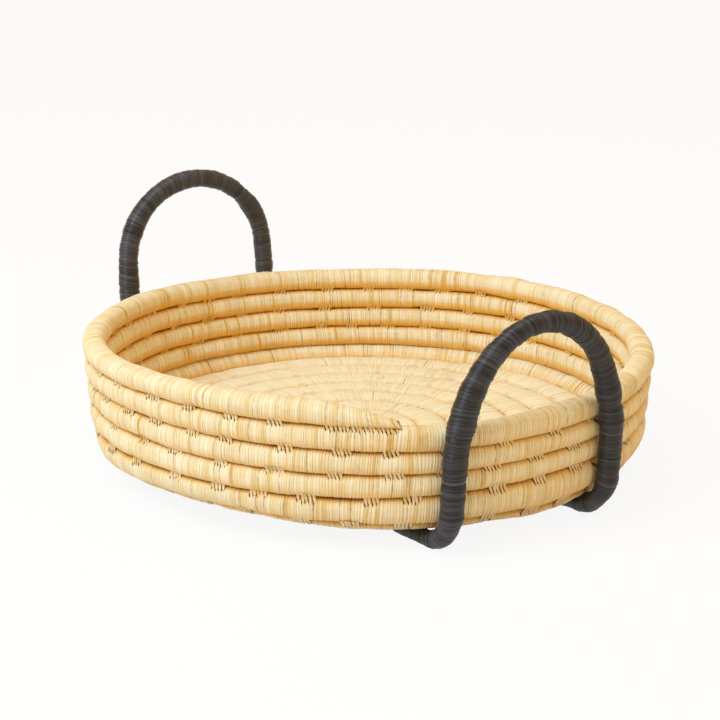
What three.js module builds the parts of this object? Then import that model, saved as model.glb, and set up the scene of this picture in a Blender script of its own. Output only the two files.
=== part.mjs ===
// A round coiled raffia tray with two carrying hoops.
// One long bundle of grass, wrapped in raffia, winds out from the middle of the floor, turns up at the
// edge and climbs the wall until it tapers into the rim. Two cane hoops wrapped in black raffia stand
// against the outside of the wall, run under the floor as its two runners and are lashed to the wall.
// Millimetres, +Z up. The origin is on the ground, under the middle of the tray with its hoops.

import * as THREE from 'three';

// Tray, measured from the underside of its floor
const rimRadius = 228; // outside of the rim turn, where it ends
const rimHeight = 90.5; // middle of the rim turn, where it ends
const wallPitch = 17.64; // rise of the wall for each turn
const wallThickness = 18.4;
const wallFlareShare = 0.084; // how far the wall leans out, as a share of its height
const floorThickness = 12.4;
const floorPitch = 26; // the floor's turns are pressed flat and wide
const cornerRadius = 18; // bend of the bundle's middle line from floor to wall
const turnGap = 0.5; // between one turn and the next
const buttGap = 0.3; // between pieces that touch

const widthChange = 26; // run of the profile over which the bundle changes from flat to narrow
const stepsPerTurn = 24;
const rimEndAngle = THREE.MathUtils.degToRad(-31);
const cornerTilt = THREE.MathUtils.degToRad(8); // the floor's bundle is spliced to the corner's here

// Start of the floor and end of the rim
const startReach = 44; // the bundle widens from the axis to here
const startWidthShare = 0.42;
const startClearance = 0.8; // between the bundle's first section and the axis
const tailLength = 84; // the rim's bundle thins over this length
const tailSteps = 5;
const tailEndShare = 0.16;

// Wrapping and filling of the bundle
const wrapThickness = 1.6;
const fillGap = 0.3;
const shoulderShare = 0.57; // width of a section's flats, which gives it an oval's area

// Hoops, their heights measured from the underside of the floor
const hoopSpan = 140.5; // between the middles of a hoop's legs
const hoopOffset = -20; // of the runners' middle line from the tray's
const frontTop = 153.4;
const frontSpring = 57; // the legs start to curve into the arch here
const backTop = 179;
const backSpring = 117;
const leftBendRadius = 31;
const rightBendRadius = 27;
const runnerRadius = 6.6;
const frontLeftRadius = 8.6; // of the legs, whose wrappings differ in thickness
const frontRightRadius = 9.9;
const backLeftRadius = 6.8;
const backRightRadius = 9.4;
const archRadius = 7.4;
const caneRadius = 4.3;
const caneGap = 0.3;
const caneLap = 30; // a cane reaches this far into the other hoop's wrapping
const hoopSides = 10;
const caneSides = 6;
const archSteps = 16;
const bendSteps = 5;

// Lashings that tie the legs to the wall
const lashHeight = 3;
const lashThickness = 1.4;
const lashGap = 0.4;
const lashDepth = 3.5; // into the groove between two turns
const lashSteps = 12;
const upperLashTurns = 0.5; // below the middle of the top turn
const lowerLashTurns = 2.5;

// Materials
const straw = new THREE.MeshStandardMaterial({ color: 0xe3bf7c, roughness: 0.72, metalness: 0 });
const grass = new THREE.MeshStandardMaterial({ color: 0xb99a5e, roughness: 0.85, metalness: 0 });
const blackRaffia = new THREE.MeshStandardMaterial({ color: 0x2b2c30, roughness: 0.5, metalness: 0 });
const cane = new THREE.MeshStandardMaterial({ color: 0xc79a5b, roughness: 0.6, metalness: 0 });

const mix = THREE.MathUtils.lerp;
const ease = THREE.MathUtils.smoothstep;
const turnMatch = 1e-6;

// End face between an outer ring and a bore whose points start at the same angle
function addEnd(index, outer, outerSides, bore, boreSides, atStart) {
  let o = 0;
  let b = 0;
  while (o < outerSides || b < boreSides) {
    const boreIsDone = b === boreSides;
    const outerIsNext = (o + 1) * boreSides <= (b + 1) * outerSides;
    const stepOuter = boreIsDone || (o < outerSides && outerIsNext);
    const a = outer + (o % outerSides);
    const c = bore + (b % boreSides);
    const d = stepOuter ? outer + ((o + 1) % outerSides) : bore + ((b + 1) % boreSides);
    if (atStart) index.push(a, c, d);
    else index.push(a, d, c);
    if (stepOuter) o++;
    else b++;
  }
}

// Closed solid through a row of rings of points, with a bore where inner rings are given.
// Seen from its start, each ring runs clockwise.
function sweptSolid(outerRings, boreRings) {
  const positions = [];
  const index = [];
  const addSkin = (rings, inside) => {
    const first = positions.length / 3;
    const sides = rings[0].length;
    rings.forEach((ring) => ring.forEach((point) => positions.push(point.x, point.y, point.z)));
    for (let ring = 0; ring < rings.length - 1; ring++) {
      for (let side = 0; side < sides; side++) {
        const a = first + ring * sides + side;
        const b = first + ring * sides + ((side + 1) % sides);
        if (inside) index.push(a, b + sides, b, a, a + sides, b + sides);
        else index.push(a, b, b + sides, a, b + sides, a + sides);
      }
    }
    return { first, last: first + (rings.length - 1) * sides, sides };
  };
  const outer = addSkin(outerRings, false);
  if (boreRings) {
    const bore = addSkin(boreRings, true);
    addEnd(index, outer.first, outer.sides, bore.first, bore.sides, true);
    addEnd(index, outer.last, outer.sides, bore.last, bore.sides, false);
  } else {
    for (let side = 1; side < outer.sides - 1; side++) {
      index.push(outer.first, outer.first + side + 1, outer.first + side);
      index.push(outer.last, outer.last + side, outer.last + side + 1);
    }
  }
  const geometry = new THREE.BufferGeometry();
  geometry.setAttribute('position', new THREE.Float32BufferAttribute(positions, 3));
  geometry.setIndex(index);
  geometry.computeVertexNormals();
  return geometry;
}

// The line that the middle of the bundle follows in profile: from the axis along the floor,
// round the corner and up the wall
const floorMiddle = floorThickness / 2;
const wallTilt = Math.atan2(1, wallFlareShare);
const halfWallAcross = wallThickness / 2 / Math.sin(wallTilt);
const wallRadiusAt = (height) => rimRadius - halfWallAcross - wallFlareShare * (rimHeight - height);
const cornerReach = cornerRadius * Math.tan(wallTilt / 2);
const floorRun = wallRadiusAt(floorMiddle) - cornerReach;
const cornerTop = floorMiddle + cornerReach * Math.sin(wallTilt);
const wallRun = (rimHeight - cornerTop) / Math.sin(wallTilt);
const profileRun = floorRun + cornerRadius * wallTilt + wallRun;

function profileAt(distance) {
  if (distance < floorRun) return { radius: distance, height: floorMiddle, tilt: 0 };
  const round = (distance - floorRun) / cornerRadius;
  if (round < wallTilt) {
    const radius = floorRun + cornerRadius * Math.sin(round);
    return { radius, height: floorMiddle + cornerRadius * (1 - Math.cos(round)), tilt: round };
  }
  const height = rimHeight - (profileRun - distance) * Math.sin(wallTilt);
  return { radius: wallRadiusAt(height), height, tilt: wallTilt };
}

// Half the bundle's width where its middle lies at this distance along the profile
const wallHalfWidth = (wallPitch / Math.sin(wallTilt) - turnGap) / 2;

function halfWidthAt(distance) {
  const narrowing = ease(distance, floorRun - widthChange / 2, floorRun + widthChange / 2);
  const widening = mix(startWidthShare, 1, ease(distance, 0, startReach));
  return mix(((floorPitch - turnGap) / 2) * widening, wallHalfWidth, narrowing);
}

function sectionAt(turn, distance) {
  const place = profileAt(distance);
  const standing = place.tilt / wallTilt;
  const halfThickness = mix(floorThickness, wallThickness, standing * standing) / 2;
  return { turn, distance, ...place, halfWidth: halfWidthAt(distance), halfThickness };
}

// Distance along the profile at which a section lies beside the one a turn further out,
// found by halving the run that it must lie in
const halvings = 40;

function distanceBeside(outer) {
  const fits = (distance) => {
    const { radius, height, halfWidth } = sectionAt(0, distance);
    const spacing = Math.hypot(outer.radius - radius, outer.height - height);
    return spacing > halfWidth + outer.halfWidth + turnGap;
  };
  let near = outer.distance;
  let far = outer.distance - 2 * floorPitch;
  for (let halving = 0; halving < halvings; halving++) {
    const middle = (near + far) / 2;
    if (fits(middle)) far = middle;
    else near = middle;
  }
  return near;
}

// Sections of the bundle from the end of the rim back to the middle of the floor, in that order
// turned round: place, tilt and half sizes
function coilSections() {
  const sections = [];
  for (let step = 0; ; step++) {
    const turn = -step / stepsPerTurn;
    const outer = sections[step - stepsPerTurn];
    const distance = outer ? distanceBeside(outer) : profileRun + (turn * wallPitch) / Math.sin(wallTilt);
    const section = sectionAt(turn, distance);
    if (section.radius - section.halfWidth < startClearance) return sections.reverse();
    sections.push(section);
  }
}

// The end of the rim thins to a tail that stays down on the turn below it
function taperTail(sections) {
  const tailTurns = tailLength / (2 * Math.PI * wallRadiusAt(rimHeight));
  const body = sections.filter((section) => section.turn < -tailTurns);
  const full = sections[sections.length - 1];
  for (let step = 0; step <= tailSteps; step++) {
    const turn = (step / tailSteps - 1) * tailTurns;
    const place = profileAt(profileRun + (turn * wallPitch) / Math.sin(wallTilt));
    const share = mix(1, tailEndShare, (step / tailSteps) ** 2);
    const drop = full.halfWidth * (1 - share);
    body.push({
      turn,
      radius: place.radius - drop * Math.cos(wallTilt),
      height: place.height - drop * Math.sin(wallTilt),
      tilt: wallTilt,
      halfWidth: full.halfWidth * share,
      halfThickness: full.halfThickness * mix(1, share, 0.5),
    });
  }
  return body;
}

// Six points round a section, in the plane through the tray's axis, drawn in by inset
function sectionRing(section, inset) {
  const width = section.halfWidth - Math.min(inset, section.halfWidth / 2);
  const thickness = section.halfThickness - Math.min(inset, section.halfThickness / 2);
  const along = [width, shoulderShare * width, -shoulderShare * width];
  const across = [0, -thickness, -thickness];
  const angle = rimEndAngle + section.turn * 2 * Math.PI;
  const ring = [];
  for (const turned of [1, -1]) {
    along.forEach((share, corner) => {
      const a = share * turned;
      const b = across[corner] * turned;
      const radius = section.radius + a * Math.cos(section.tilt) - b * Math.sin(section.tilt);
      const height = section.height + a * Math.sin(section.tilt) + b * Math.cos(section.tilt);
      ring.push(new THREE.Vector3(radius * Math.cos(angle), radius * Math.sin(angle), height));
    });
  }
  return ring;
}

// No turn reaches below the underside of the floor
function settle(sections) {
  for (const section of sections) {
    const lowest = Math.min(...sectionRing(section, 0).map((point) => point.z));
    section.height += Math.max(0, -lowest);
  }
  return sections;
}

const coil = settle(taperTail(coilSections()));

// Least gap between a section and the one a turn further out, measured on points along their edges
function leastTurnGap(sections) {
  const edgePoints = 8;
  const outlines = sections.map((section) => {
    const ring = sectionRing(section, 0);
    const points = [];
    ring.forEach((point, corner) => {
      const next = ring[(corner + 1) % ring.length];
      for (let i = 0; i < edgePoints; i++) points.push(point.clone().lerp(next, i / edgePoints));
    });
    return points;
  });
  let least = Infinity;
  sections.forEach((section, inner) => {
    const outer = sections.findIndex((other) => Math.abs(other.turn - section.turn - 1) < turnMatch);
    if (outer < 0) return;
    for (const a of outlines[inner]) {
      for (const b of outlines[outer]) least = Math.min(least, a.distanceTo(b));
    }
  });
  return least;
}
console.log(`least gap between turns: ${leastTurnGap(coil).toFixed(2)} mm`);

// Moves an end ring along its stretch by half the gap that two butted pieces keep
function trimEnd(ring, towards) {
  const middle = (points) => {
    const sum = points.reduce((total, point) => total.add(point), new THREE.Vector3());
    return sum.divideScalar(points.length);
  };
  const share = buttGap / 2 / middle(ring).distanceTo(middle(towards));
  ring.forEach((point, corner) => point.lerp(towards[corner], share));
}

const tray = new THREE.Group();

function addPiece(name, geometry, material) {
  const mesh = new THREE.Mesh(geometry, material);
  mesh.name = name;
  tray.add(mesh);
}

// Wrapping and filling of the bundle from one splice to the next, butted to their neighbours there
function addStretch(name, from, to) {
  const sections = coil.slice(from, to + 1);
  const rings = (inset) => {
    const row = sections.map((section) => sectionRing(section, inset));
    const last = row.length - 1;
    if (from > 0) trimEnd(row[0], row[1]);
    if (to < coil.length - 1) trimEnd(row[last], row[last - 1]);
    return row;
  };
  addPiece(`${name}_wrapping`, sweptSolid(rings(0), rings(wrapThickness)), straw);
  addPiece(`${name}_filling`, sweptSolid(rings(wrapThickness + fillGap)), grass);
}

const cornerSplice = coil.findIndex((section) => section.tilt > cornerTilt);
const wallSplice = coil.findIndex((section) => section.tilt === wallTilt);
const rimEnd = coil.length - 1;
const rimSplice = Math.round((wallSplice + rimEnd) / 2);
addStretch('floor_coil', 0, cornerSplice);
addStretch('corner_coil', cornerSplice, wallSplice);
addStretch('wall_coil', wallSplice, rimSplice);
addStretch('rim_coil', rimSplice, rimEnd);

// How far out along X a leg stands at this height, just clear of the flat-sided turns of the wall
const facetAngle = (2 * Math.PI) / stepsPerTurn;
const outsideAt = (height) => wallRadiusAt(height) + halfWallAcross;

function legReach(height, across, legRadius, side) {
  let reach = Infinity;
  for (let facet = 0; facet < stepsPerTurn; facet++) {
    const normal = rimEndAngle + (facet + 0.5) * facetAngle;
    const facing = Math.cos(normal) * side;
    if (facing <= 0) continue;
    const flat = outsideAt(height) * Math.cos(facetAngle / 2);
    reach = Math.min(reach, (flat + legRadius + buttGap - across * Math.sin(normal)) / facing);
  }
  return reach;
}

// A hoop runs from the middle of one runner out, up a leg, over the arch, down and back under the
// floor. Each stop has its place, the direction towards the tray and the radius of the wrapping.
const runnerHeight = -runnerRadius * Math.cos(Math.PI / hoopSides) - buttGap;
const legs = [
  { across: hoopOffset + hoopSpan / 2, bendRadius: leftBendRadius },
  { across: hoopOffset - hoopSpan / 2, bendRadius: rightBendRadius },
];

function hoopStops(side, spring, top, legRadii, starts) {
  const lean = (height) => side * wallFlareShare * (height - runnerHeight);
  const archShare = (height) => Math.sqrt(1 - (Math.max(0, height - spring) / (top - spring)) ** 2);
  const reaches = legs.map((leg, number) => legReach(cornerTop, leg.across, legRadii[number], side));
  const skewShare = (reaches[0] - reaches[1]) / hoopSpan;
  const corners = legs.map((leg, number) => {
    const seats = [cornerTop, rimHeight].map((height) => {
      const across = mix(hoopOffset, leg.across, archShare(height));
      const reach = legReach(height, across, legRadii[number], side);
      return reach - side * lean(height) - skewShare * (across - leg.across);
    });
    return new THREE.Vector3(side * Math.max(...seats), leg.across, runnerHeight);
  });
  const legPoint = (leg, height) => {
    const point = corners[leg].clone();
    return point.add(new THREE.Vector3(lean(height), 0, height - runnerHeight));
  };
  const chord = corners[0].clone().sub(corners[1]).normalize();
  const rise = new THREE.Vector3(side * wallFlareShare, 0, 1).normalize();
  const inward = new THREE.Vector3().crossVectors(rise, chord).normalize();
  if (inward.x * side > 0) inward.negate();

  const half = (leg) => {
    const along = new THREE.Vector3(side, 0, 0);
    const turn = along.angleTo(rise);
    const { bendRadius } = legs[leg];
    const reach = bendRadius * Math.tan(turn / 2);
    const bendStart = corners[leg].clone().addScaledVector(along, -reach);
    const up = new THREE.Vector3(0, 0, 1);
    const hub = bendStart.clone().addScaledVector(up, bendRadius);
    const start = new THREE.Vector3(starts[leg], corners[leg].y, runnerHeight);
    const stops = [{ place: start, inward: up.clone(), radius: runnerRadius }];
    for (let step = 0; step <= bendSteps; step++) {
      const angle = (turn * step) / bendSteps;
      const out = new THREE.Vector3(side * Math.sin(angle), 0, -Math.cos(angle));
      stops.push({
        place: hub.clone().addScaledVector(out, bendRadius),
        inward: out.negate(),
        radius: mix(runnerRadius, legRadii[leg], step / bendSteps),
      });
    }
    stops.push({ place: legPoint(leg, spring), inward: inward.clone(), radius: legRadii[leg] });
    return stops;
  };

  const arch = [];
  const middle = legPoint(0, spring).add(legPoint(1, spring)).divideScalar(2);
  const halfChord = corners[0].distanceTo(corners[1]) / 2;
  const archRise = (top - spring) / rise.z;
  for (let step = 1; step < archSteps; step++) {
    const angle = (Math.PI * step) / archSteps;
    const legRadius = legRadii[step < archSteps / 2 ? 0 : 1];
    const place = middle.clone().addScaledVector(chord, halfChord * Math.cos(angle));
    place.addScaledVector(rise, archRise * Math.sin(angle));
    const radius = mix(legRadius, archRadius, Math.sin(angle));
    arch.push({ place, inward: inward.clone(), radius });
  }
  return [...half(0), ...arch, ...half(1).reverse()];
}

// Rings square to the run of the stops, with a flat towards the tray and one away from it
function stopRings(stops, sides, radiusOf) {
  return stops.map((stop, i) => {
    const before = stops[Math.max(i - 1, 0)].place;
    const after = stops[Math.min(i + 1, stops.length - 1)].place;
    const here = stop.place;
    const arriving = here.clone().sub(before).normalize();
    const leaving = after.clone().sub(here).normalize();
    const along = arriving.add(leaving).normalize();
    const inward = stop.inward.clone().addScaledVector(along, -stop.inward.dot(along)).normalize();
    const across = new THREE.Vector3().crossVectors(along, inward);
    const ring = [];
    for (let side = 0; side < sides; side++) {
      const angle = ((side + 0.5) * 2 * Math.PI) / sides;
      const out = inward.clone().multiplyScalar(Math.cos(angle) * radiusOf(stop));
      ring.push(here.clone().add(out).addScaledVector(across, Math.sin(angle) * radiusOf(stop)));
    }
    return ring;
  });
}

// The wrappings of both hoops meet under the middle of the floor. Each cane runs on into the other
// hoop's wrapping under one runner and stops short of it under the other.
function addHoop(name, side, spring, top, legRadii) {
  const wrapStarts = [(side * buttGap) / 2, (side * buttGap) / 2];
  const caneStarts = [(side * buttGap) / 2 - caneLap, (side * buttGap) / 2 + caneLap];
  const boreRadius = caneRadius + caneGap / Math.cos(Math.PI / caneSides);
  const wrapStops = hoopStops(side, spring, top, legRadii, wrapStarts);
  const caneStops = hoopStops(side, spring, top, legRadii, caneStarts);
  const outer = stopRings(wrapStops, hoopSides, (stop) => stop.radius);
  const bore = stopRings(wrapStops, caneSides, () => boreRadius);
  addPiece(`${name}_hoop_wrapping`, sweptSolid(outer, bore), blackRaffia);
  addPiece(`${name}_hoop_cane`, sweptSolid(stopRings(caneStops, caneSides, () => caneRadius)), cane);
  return wrapStops;
}

const frontRadii = [frontLeftRadius, frontRightRadius];
const backRadii = [backLeftRadius, backRightRadius];
const hoops = [
  { name: 'front', side: 1, stops: addHoop('front', 1, frontSpring, frontTop, frontRadii) },
  { name: 'back', side: -1, stops: addHoop('back', -1, backSpring, backTop, backRadii) },
];

// A lashing is a strap bent round the outside of a leg, with its ends in a groove of the wall
function lashing(legRadius) {
  const inner = legRadius + lashGap;
  const outer = inner + lashThickness;
  const depth = legRadius + buttGap + lashDepth;
  const outline = new THREE.Shape();
  outline.moveTo(-depth, -outer);
  outline.lineTo(0, -outer);
  outline.absarc(0, 0, outer, -Math.PI / 2, Math.PI / 2, false);
  outline.lineTo(-depth, outer);
  outline.lineTo(-depth, inner);
  outline.lineTo(0, inner);
  outline.absarc(0, 0, inner, Math.PI / 2, -Math.PI / 2, true);
  outline.lineTo(-depth, -inner);
  const options = { depth: lashHeight, bevelEnabled: false, curveSegments: lashSteps };
  return new THREE.ExtrudeGeometry(outline, options);
}

// Middle of the highest turn at this angle round the tray
function topTurnHeight(angle) {
  const turn = (rimEndAngle - angle) / (2 * Math.PI);
  return rimHeight - wallPitch * (turn - Math.floor(turn));
}

// Middle of a leg at this height, between the two stops nearest to it
function legPlace(stops, leg, height) {
  const run = leg === 0 ? stops : [...stops].reverse();
  const above = run.findIndex((stop) => stop.place.z > height);
  const low = run[above - 1];
  const high = run[above];
  const share = (height - low.place.z) / (high.place.z - low.place.z);
  return { place: low.place.clone().lerp(high.place, share), radius: mix(low.radius, high.radius, share) };
}

for (const hoop of hoops) {
  legs.forEach((leg, number) => {
    const foot = legPlace(hoop.stops, number, cornerTop).place;
    const angle = Math.atan2(foot.y, foot.x);
    const ties = [['upper', upperLashTurns], ['lower', lowerLashTurns]];
    for (const [level, turns] of ties) {
      const height = topTurnHeight(angle) - turns * wallPitch;
      const { place, radius } = legPlace(hoop.stops, number, height);
      const geometry = lashing(radius);
      geometry.translate(0, 0, -lashHeight / 2);
      geometry.rotateZ(angle);
      geometry.translate(place.x, place.y, place.z);
      addPiece(`${hoop.name}_${number === 0 ? 'left' : 'right'}_${level}_lashing`, geometry, blackRaffia);
    }
  });
}

// Stand the runners on the ground and centre the whole
const box = new THREE.Box3().setFromObject(tray, true);
const centre = box.getCenter(new THREE.Vector3());
tray.position.set(-centre.x, -centre.y, -box.min.z);

const raffiaTray = new THREE.Group();
raffiaTray.add(tray);
export default raffiaTray;
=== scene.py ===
import math
import bpy
import numpy as np
from mathutils import Matrix, Vector


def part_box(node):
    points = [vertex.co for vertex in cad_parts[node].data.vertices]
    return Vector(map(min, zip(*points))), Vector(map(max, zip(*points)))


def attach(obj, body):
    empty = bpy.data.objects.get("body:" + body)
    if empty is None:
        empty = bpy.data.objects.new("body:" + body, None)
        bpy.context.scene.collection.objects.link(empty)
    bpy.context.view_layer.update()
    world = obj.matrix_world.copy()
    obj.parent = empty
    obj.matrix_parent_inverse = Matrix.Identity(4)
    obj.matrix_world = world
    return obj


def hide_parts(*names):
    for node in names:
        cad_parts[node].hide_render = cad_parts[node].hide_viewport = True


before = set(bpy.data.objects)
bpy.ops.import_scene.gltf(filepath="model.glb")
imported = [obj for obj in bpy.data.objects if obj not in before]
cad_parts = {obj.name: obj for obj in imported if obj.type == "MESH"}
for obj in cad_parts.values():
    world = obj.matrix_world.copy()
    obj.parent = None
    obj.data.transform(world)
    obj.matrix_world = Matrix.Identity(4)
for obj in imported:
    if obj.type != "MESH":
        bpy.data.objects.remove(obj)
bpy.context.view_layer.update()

print("frame loaded:", len(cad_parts), "nodes")

# Lengths are in mm until a mesh is made, and the heights start at the underside of the floor coil
mm = 0.001
trayPlace = np.array([-0.3703, 0.3704, 12.8539])  # where the CAD model stands the tray's axis and underside


def linear(hexCode):
    parts = [int(hexCode[i:i + 2], 16) / 255 for i in (1, 3, 5)]
    return [p / 12.92 if p <= 0.04045 else ((p + 0.055) / 1.055) ** 2.4 for p in parts] + [1.0]


def mix(a, b, share):
    return a + (b - a) * share


def smooth(value, low, high):
    share = np.clip((value - low) / (high - low), 0, 1)
    return share * share * (3 - 2 * share)


def addNode(tree, kind, inputs=None, stops=None, **settings):
    node = tree.nodes.new(kind)
    for name, value in settings.items():
        setattr(node, name, value)
    for name, value in (inputs or {}).items():
        if isinstance(value, bpy.types.NodeSocket):
            tree.links.new(value, node.inputs[name])
        else:
            node.inputs[name].default_value = value
    if stops:
        ramp = node.color_ramp.elements
        while len(ramp) < len(stops):
            ramp.new(0.5)
        for element, (place, colour) in zip(ramp, stops):
            element.position = place
            element.color = linear(colour) if isinstance(colour, str) else (colour, colour, colour, 1)
    return node


def newMaterial(name):
    material = bpy.data.materials.new(name)
    material.use_nodes = True
    material.node_tree.nodes.clear()
    return material, material.node_tree


# Natural raffia: strips of dried palm leaf, sun-bleached and wound by hand. Satin, with fine fibres along
# each strip. Its colour holds painted warm shade towards the grooves and painted dark shade down in them.
raffiaFinish = {
    "strandColours": [(0.0, "#c9934d"), (0.2, "#dbbb77"), (0.45, "#ead6a8"), (0.7, "#efe3c1"),
                      (1.0, "#f5edcf")],
    # the next three colours are painted shade: in the creases between strands, warm towards a groove, dark
    # down in it
    "seamShadeColour": "#7a3e0a",
    "grooveShadeColour": "#eeb112",
    "cleftShadeColour": "#5e2f06",
    "seamShadeStrength": 0.9,
    "grooveShadeStrength": 0.97,
    "cleftShadeStrength": 0.75,
    "fibreWidth": 0.4,    # mm, about twice the real width so that it shows
    "fibreLength": 14.0,
    "blotchLength": 13.0,
    "breakLength": 5.0,   # a dark line between two strands comes and goes over about this length
    "roughness": 0.6,
    "fibreDepth": 0.05,
}

# The same raffia boiled in black dye: near black with a cold cast, and a soft shine on the crowns
blackFinish = {
    "strandColours": [(0.0, "#0c0c0f"), (0.35, "#1c1b20"), (0.7, "#34333a"), (1.0, "#4a4a52")],
    # painted shade in the creases between strands; the painted groove and cleft shade is off
    "seamShadeColour": "#050506",
    "grooveShadeColour": "#121316",
    "cleftShadeColour": "#08080a",
    "seamShadeStrength": 0.9,
    "grooveShadeStrength": 0.0,
    "cleftShadeStrength": 0.0,
    "fibreWidth": 0.35,
    "fibreLength": 12.0,
    "blotchLength": 9.0,
    "breakLength": 9.0,
    "roughness": 0.37,
    "fibreDepth": 0.06,
}


# How a strand's look is put together, the same for both kinds
strandMixing = {
    "fibreShare": 0.5, "fibreShift": -0.25,     # how far its fibres move a strand's tone
    "blotchShare": 0.4, "blotchShift": 0.2,     # and its stains
    "blotchStretch": 0.6, "breakStretch": 0.8,  # scale across the strands as a share of that along them
    "breakPlace": (3.7, 1.3, 0), "breakRange": (0.38, 0.62), "breakLeast": 0.2,
    "seamShadePower": 1.6, "smoother": 0.08, "rougher": 0.1, "relief": 0.6,
    "ior": 1.46, "sheen": 0.08, "sheenRoughness": 0.5,
}


def calculate(tree, operation, *values, **settings):
    node = addNode(tree, "ShaderNodeMath", dict(enumerate(values)), operation=operation, **settings)
    return node.outputs[0]


def mixColours(tree, share, under, over):
    return addNode(tree, "ShaderNodeMix", {0: share, 6: under, 7: linear(over)}, data_type="RGBA").outputs[2]


def wrapNoise(tree, wrap, across, along, detail, place=(0, 0, 0)):
    spots = addNode(tree, "ShaderNodeMapping", {"Vector": wrap, "Scale": (across, along, 1),
                                                "Location": place})
    noise = addNode(tree, "ShaderNodeTexNoise", {"Vector": spots.outputs[0], "Scale": 1.0, "Detail": detail})
    return noise.outputs["Fac"]


def finishMaterial(tree, inputs):
    shader = addNode(tree, "ShaderNodeBsdfPrincipled", inputs)
    addNode(tree, "ShaderNodeOutputMaterial", {"Surface": shader.outputs[0]})


def raffiaMaterial(name, finish):
    material, tree = newMaterial(name)
    look = addNode(tree, "ShaderNodeAttribute", attribute_name="strand")
    parts = addNode(tree, "ShaderNodeSeparateColor", {"Color": look.outputs["Color"]})
    wrap = addNode(tree, "ShaderNodeUVMap", uv_map="wrap").outputs["UV"]
    blotchLength, breakLength = finish["blotchLength"] * mm, finish["breakLength"] * mm
    fibre = wrapNoise(tree, wrap, 1 / (finish["fibreWidth"] * mm), 1 / (finish["fibreLength"] * mm), 3.0)
    blotch = wrapNoise(tree, wrap, strandMixing["blotchStretch"] / blotchLength, 1 / blotchLength, 4.0)
    # each strand keeps its own tone, moved a little by stains and by its fibres
    shift = calculate(tree, "MULTIPLY_ADD", fibre, strandMixing["fibreShare"], strandMixing["fibreShift"])
    shift = calculate(tree, "MULTIPLY_ADD", blotch, strandMixing["blotchShare"], shift)
    shift = calculate(tree, "SUBTRACT", shift, strandMixing["blotchShift"])
    toned = calculate(tree, "ADD", parts.outputs[0], shift, use_clamp=True)
    colour = addNode(tree, "ShaderNodeValToRGB", {"Fac": toned}, stops=finish["strandColours"]).outputs[0]
    # painted warm shade towards a groove between two turns and painted dark shade down in it
    warmShadeShare = calculate(tree, "MULTIPLY", parts.outputs[2], finish["grooveShadeStrength"])
    colour = mixColours(tree, warmShadeShare, colour, finish["grooveShadeColour"])
    cleftShadeShare = calculate(tree, "MULTIPLY", look.outputs["Alpha"], finish["cleftShadeStrength"])
    colour = mixColours(tree, cleftShadeShare, colour, finish["cleftShadeColour"])
    # the dark lines between strands, painted shade in their creases, are broken
    breaks = wrapNoise(tree, wrap, strandMixing["breakStretch"] / breakLength, 1 / breakLength, 2.0,
                       strandMixing["breakPlace"])
    low, high = strandMixing["breakRange"]
    shown = addNode(tree, "ShaderNodeMapRange", {0: breaks, 1: low, 2: high, 3: strandMixing["breakLeast"],
                                                 4: 1.0})
    seamShade = calculate(tree, "POWER", parts.outputs[1], strandMixing["seamShadePower"])
    seamShade = calculate(tree, "MULTIPLY", seamShade, shown.outputs[0])
    seamShade = calculate(tree, "MULTIPLY", seamShade, finish["seamShadeStrength"], use_clamp=True)
    colour = mixColours(tree, seamShade, colour, finish["seamShadeColour"])
    rough = addNode(tree, "ShaderNodeMapRange", {0: fibre, 3: finish["roughness"] - strandMixing["smoother"],
                                                 4: finish["roughness"] + strandMixing["rougher"]})
    relief = addNode(tree, "ShaderNodeBump", {"Height": fibre, "Strength": strandMixing["relief"],
                                              "Distance": finish["fibreDepth"] * mm})
    finishMaterial(tree, {
        "Base Color": colour, "Roughness": rough.outputs[0], "IOR": strandMixing["ior"],
        "Normal": relief.outputs[0], "Sheen Weight": strandMixing["sheen"],
        "Sheen Roughness": strandMixing["sheenRoughness"]})
    return material


def stalkMaterial(name, finish):
    material, tree = newMaterial(name)
    place = addNode(tree, "ShaderNodeTexCoord")
    noise = addNode(tree, "ShaderNodeTexNoise", {
        "Vector": place.outputs["Object"], "Scale": 1 / (finish["grain"] * mm), "Detail": finish["detail"]})
    colour = addNode(tree, "ShaderNodeValToRGB", {"Fac": noise.outputs["Fac"]}, stops=finish["colours"])
    inputs = {"Base Color": colour.outputs[0], "Roughness": finish["roughness"], "IOR": finish["ior"]}
    if "relief" in finish:
        relief = addNode(tree, "ShaderNodeBump", {"Height": noise.outputs["Fac"], "Strength": 0.7,
                                                  "Distance": finish["relief"] * mm})
        inputs["Normal"] = relief.outputs[0]
    finishMaterial(tree, inputs)
    return material


raffia = raffiaMaterial("natural raffia, hand wound", raffiaFinish)
blackRaffia = raffiaMaterial("black dyed raffia, hand wound", blackFinish)

# Shadowed holes that the needle leaves where a stitch goes into the turn below: bare grass in deep shade
holeShadeFinish = {"colour": "#4a2509", "roughness": 0.9, "ior": 1.3, "specular": 0.1}
holeShade, holeTree = newMaterial("painted shade in needle holes")
finishMaterial(holeTree, {"Base Color": linear(holeShadeFinish["colour"]), "Roughness": holeShadeFinish["roughness"],
                          "IOR": holeShadeFinish["ior"], "Specular IOR Level": holeShadeFinish["specular"]})

# Dry elephant grass: matte straw stalks laid side by side, about 1.5 mm thick
grass = stalkMaterial("dry grass bundle", {
    "colours": [(0.35, "#8a6a34"), (0.65, "#c9aa6a")], "grain": 1.5, "detail": 3.0, "roughness": 0.85,
    "ior": 1.4, "relief": 0.4})

# Peeled rattan cane, bent with steam: satin, with grain lines about 1 mm apart
cane = stalkMaterial("peeled rattan cane, steam bent", {
    "colours": [(0.3, "#a8773c"), (0.7, "#d3a768")], "grain": 1.0, "detail": 4.0, "roughness": 0.5,
    "ior": 1.5})

print("materials made")


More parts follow.
